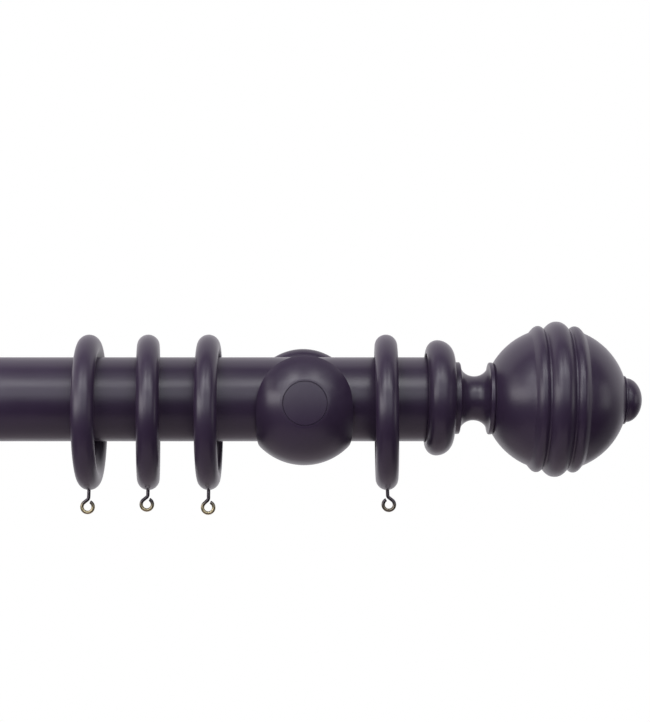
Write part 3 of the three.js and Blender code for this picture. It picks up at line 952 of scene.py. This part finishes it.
def makePlate():
    s = plateSpec
    stations = [(0, s["hole"]), (0, s["radius"]), (s["thick"], s["radius"]), (s["thick"], s["boss"]),
                (s["top"], s["boss"]), (s["top"], s["hole"]), (0, s["hole"])]
    piece = turned("plateCut", stations, s["steps"])
    softenEdges(piece, s["arris"], 35, 2)
    place(piece, toRoom, Vector((0, 0, 0)))
    centre = middle("rose_right")
    # the countersink's cone runs on past the plate's face
    sinkStations = [(-s["drillPast"], 0), (-s["drillPast"], s["screwHole"]),
                    (s["sinkFrom"], s["screwHole"]), (s["sinkTo"], s["sinkRadius"]), (s["sinkTo"], 0)]
    for index in screwNumbers:
        spot = middle(f"wall_screw_right_{index}")
        sink = turned("sink", sinkStations, 48)
        place(sink, toRoom, Vector((spot.x - centre.x, 0, spot.z)))
        carve(piece, sink)
    return piece


dowelSpec = {
    "core": 2.9 * mm, "crest": 4.0 * mm, "pitch": 3.4 * mm, "half": 30 * mm, "point": 6 * mm,
    "grip": 3.5 * mm, "gripEnd": 1.5 * mm, "threadEnd": 2.5 * mm, "threadFrom": 3 * mm, "steps": 48,
}


def makeFinialScrew():
    # a dowel screw: two threads with a plain grip between them
    s = dowelSpec
    core, half, grip = s["core"], s["half"], s["grip"]
    stations = [(-half, 0), (-half + s["point"], core), (-s["threadEnd"], core), (-s["gripEnd"], grip),
                (s["gripEnd"], grip), (s["threadEnd"], core), (half - s["point"], core), (half, 0)]
    piece = turned("dowelScrewCut", stations, s["steps"])
    threadOn(piece, s["threadFrom"] - half, -s["threadEnd"], core, s["crest"], s["pitch"])
    threadOn(piece, s["threadEnd"], half - s["threadFrom"], core, s["crest"], s["pitch"])
    return piece


def fitBrackets():
    parts = (
        ("cup", makeCup(), "bracketCup", "painted_wood", cupPaint, 38),
        ("rose", makeRose(), "wallRose", "painted_wood", cupPaint, 35),
        ("cover_plug", makePlug(), "frontPlug", "painted_wood", cupPaint, 35),
        ("cup_liner", makeLiner(), "feltStrip", "felt", feltCloth, 40),
        ("wall_plate", makePlate(), "wallPlateSteel", "plated_steel", zinc, 35),
        ("bracket_bolt", makeBolt(), "socketBolt", "plated_steel", zinc, 35),
        ("bolt_washer", makeWasher(), "plainWasher", "plated_steel", zinc, 35),
    )
    wallScrew = makeWallScrew()
    poleScrew = makePoleScrew()
    dowelScrew = makeFinialScrew()
    for side, slack in (("left", 0), ("right", cupSpec["slack"])):
        across = Vector((middle("rose_" + side).x, 0, 0))
        beside = across + Vector((slack, 0, 0))
        for node, blank, name, slot, material, angle in parts:
            piece = copyOf(blank, f"{name}_{side}")
            place(piece, Matrix.Identity(3), across if node in ("rose", "wall_plate") else beside)
            smooth(piece, angle)
            body = "cover_plug_" + side if node == "cover_plug" else "brackets"
            finish(piece, body, f"{node}_{side}", material)
        for index in screwNumbers:
            node = f"wall_screw_{side}_{index}"
            spot = middle(node)
            piece = copyOf(wallScrew, f"plateScrew_{side}_{index}")
            place(piece, toRoom, Vector((spot.x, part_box(node)[0].y, spot.z)))
            smooth(piece, 35)
            finish(piece, "brackets", node, zinc)
        node = "pole_screw_" + side
        piece = copyOf(poleScrew, f"locatingScrew_{side}")
        place(piece, toUp.inverted(), Vector((beside.x, poleCentre.y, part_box(node)[0].z)))
        smooth(piece, 35)
        finish(piece, "brackets", node, zinc)
        node = "finial_screw_" + side
        piece = copyOf(dowelScrew, f"dowelScrew_{side}")
        place(piece, Matrix.Identity(3), middle(node))
        smooth(piece, 35)
        finish(piece, node, node, zinc)
    for blank in (*(part[1] for part in parts), wallScrew, poleScrew, dowelScrew):
        bpy.data.objects.remove(blank, do_unlink=True)


fitBrackets()
print("brackets done")


# studio
studio = {
    "floorDrop": 2.4, "floorSize": 5, "floorColors": ((0.89, 0.78, 0.83), (0.91, 0.80, 0.85)),
    "floorRoughness": 0.8,
    "backdrop": 1.0, "backdropFade": (-0.05, 0.25), "roomColor": (0.98, 0.95, 1, 1),
    "sideFade": (0.7, 1.15), "sideStrength": 0.25, "lampsAway": 1.25,
    "cameraAway": 1.2, "cameraLeft": 18.4 * mm, "frameHeight": 429.4 * mm,
    "shift": (0.0706, 0.0586),
}


def makeFloor():
    deselectAll()
    level = cadBox[0].z - studio["floorDrop"]
    bpy.ops.mesh.primitive_plane_add(size=studio["floorSize"], location=(0, 0, level))
    floor = named("studioFloor")
    bpy.ops.object.mode_set(mode="EDIT")
    bpy.ops.mesh.subdivide(number_cuts=8)
    bpy.ops.object.mode_set(mode="OBJECT")
    settle(floor)
    material, nodes, links, shader = newMaterial("floorPaint")
    patches = noise(nodes, links, objectCoords(nodes), 3)
    links.new(blendColor(nodes, links, patches, *studio["floorColors"]), shader.inputs["Base Color"])
    shader.inputs["Roughness"].default_value = studio["floorRoughness"]
    floor.data.materials.append(material)


def makeWorld():
    # the camera sees plain white; the piece is lit from the wall's side, less low down at both ends
    world = bpy.data.worlds.new("studioWorld")
    bpy.context.scene.world = world
    world.use_nodes = True
    nodes, links = world.node_tree.nodes, world.node_tree.links
    nodes.clear()
    coords = nodes.new("ShaderNodeTexCoord")
    split = nodes.new("ShaderNodeSeparateXYZ")
    links.new(coords.outputs["Generated"], split.inputs["Vector"])
    behind = fadeBetween(nodes, links, split.outputs["Y"], studio["backdropFade"], (0, studio["backdrop"]))
    aside = calculated(nodes, links, "ABSOLUTE", split.outputs["X"])
    lowAside = calculated(nodes, links, "SUBTRACT", aside, split.outputs["Z"])
    dark = fadeBetween(nodes, links, lowAside, studio["sideFade"], (1, studio["sideStrength"]))
    room = nodes.new("ShaderNodeBackground")
    room.inputs["Color"].default_value = studio["roomColor"]
    links.new(calculated(nodes, links, "MULTIPLY", behind, dark), room.inputs["Strength"])
    white = nodes.new("ShaderNodeBackground")
    white.inputs["Color"].default_value = (1, 1, 1, 1)
    white.inputs["Strength"].default_value = 1
    seen = nodes.new("ShaderNodeLightPath")
    mix = nodes.new("ShaderNodeMixShader")
    links.new(seen.outputs["Is Camera Ray"], mix.inputs["Fac"])
    links.new(room.outputs["Background"], mix.inputs[1])
    links.new(white.outputs["Background"], mix.inputs[2])
    out = nodes.new("ShaderNodeOutputWorld")
    links.new(mix.outputs["Shader"], out.inputs["Surface"])


softboxes = (
    # name, azimuth from the camera's side (to the right), elevation, half width, half height, brightness
    ("keyStrip", 0, 41, 46, 7.5, 3.9, (0.95, 0.97, 1.0)),
    ("keyHigh", 0, 66, 46, 14, 0.6, (0.94, 0.98, 1.0)),
    ("keyLeft", -26, 46, 8, 9, 3.8, (1.0, 1.0, 1.0)),
    ("keyRight", 26, 48, 8, 8, 3.2, (1.0, 1.0, 1.0)),
    ("frontLow", 0, 6, 46, 6, 1.1, (0.95, 1.0, 1.0)),
    ("frontHigh", 0, 19, 46, 7, 1.9, (0.92, 0.96, 1.0)),
    ("leftFront", -26, 16, 8, 14, 2.1, (1.0, 0.97, 1.0)),
    ("leftWall", -62, 9, 20, 9, 4.3, (1.0, 0.98, 1.0)),
    ("leftHigh", -78, 28, 8, 8, 1.4, (1.0, 1.0, 1.0)),
    ("leftBack", -112, 8, 20, 8, 2.3, (1.0, 1.0, 1.0)),
    ("rightWall", 80, 4, 8, 12, 1.6, (1.0, 1.0, 1.0)),
    ("lowBack", 180, -62, 46, 12, 0.15, (1.0, 0.92, 0.97)),
)


def makeLights(target):
    away = studio["lampsAway"]
    for name, azimuth, elevation, halfWidth, halfHeight, brightness, color in softboxes:
        data = bpy.data.lights.new(name, "AREA")
        data.shape = "RECTANGLE"
        data.size = 2 * away * math.tan(math.radians(halfWidth))
        data.size_y = 2 * away * math.tan(math.radians(halfHeight))
        data.energy = math.pi * data.size * data.size_y * brightness
        data.color = color
        lamp = bpy.data.objects.new(name, data)
        bpy.context.scene.collection.objects.link(lamp)
        a, e = math.radians(azimuth), math.radians(elevation)
        way = Vector((math.sin(a) * math.cos(e), -math.cos(a) * math.cos(e), math.sin(e)))
        lamp.location = target + away * way
        lamp.rotation_euler = (-way).to_track_quat("-Z", "Y").to_euler()
        lamp.visible_camera = False


def makeCamera(target):
    data = bpy.data.cameras.new("roomCamera")
    data.lens = data.sensor_width * studio["cameraAway"] / studio["frameHeight"]
    data.shift_x, data.shift_y = studio["shift"]
    data.clip_start = 0.01
    camera = bpy.data.objects.new("roomCamera", data)
    bpy.context.scene.collection.objects.link(camera)
    camera.location = (target.x - studio["cameraLeft"], target.y - studio["cameraAway"], 0)
    camera.rotation_euler = (math.pi / 2, 0, 0)
    bpy.context.scene.camera = camera


bracketFront = Vector((middle("rose_right").x, poleCentre.y, 0))
makeFloor()
makeWorld()
makeLights(bracketFront)
makeCamera(bracketFront)
bpy.context.scene.view_settings.view_transform = "Standard"
print("studio done")
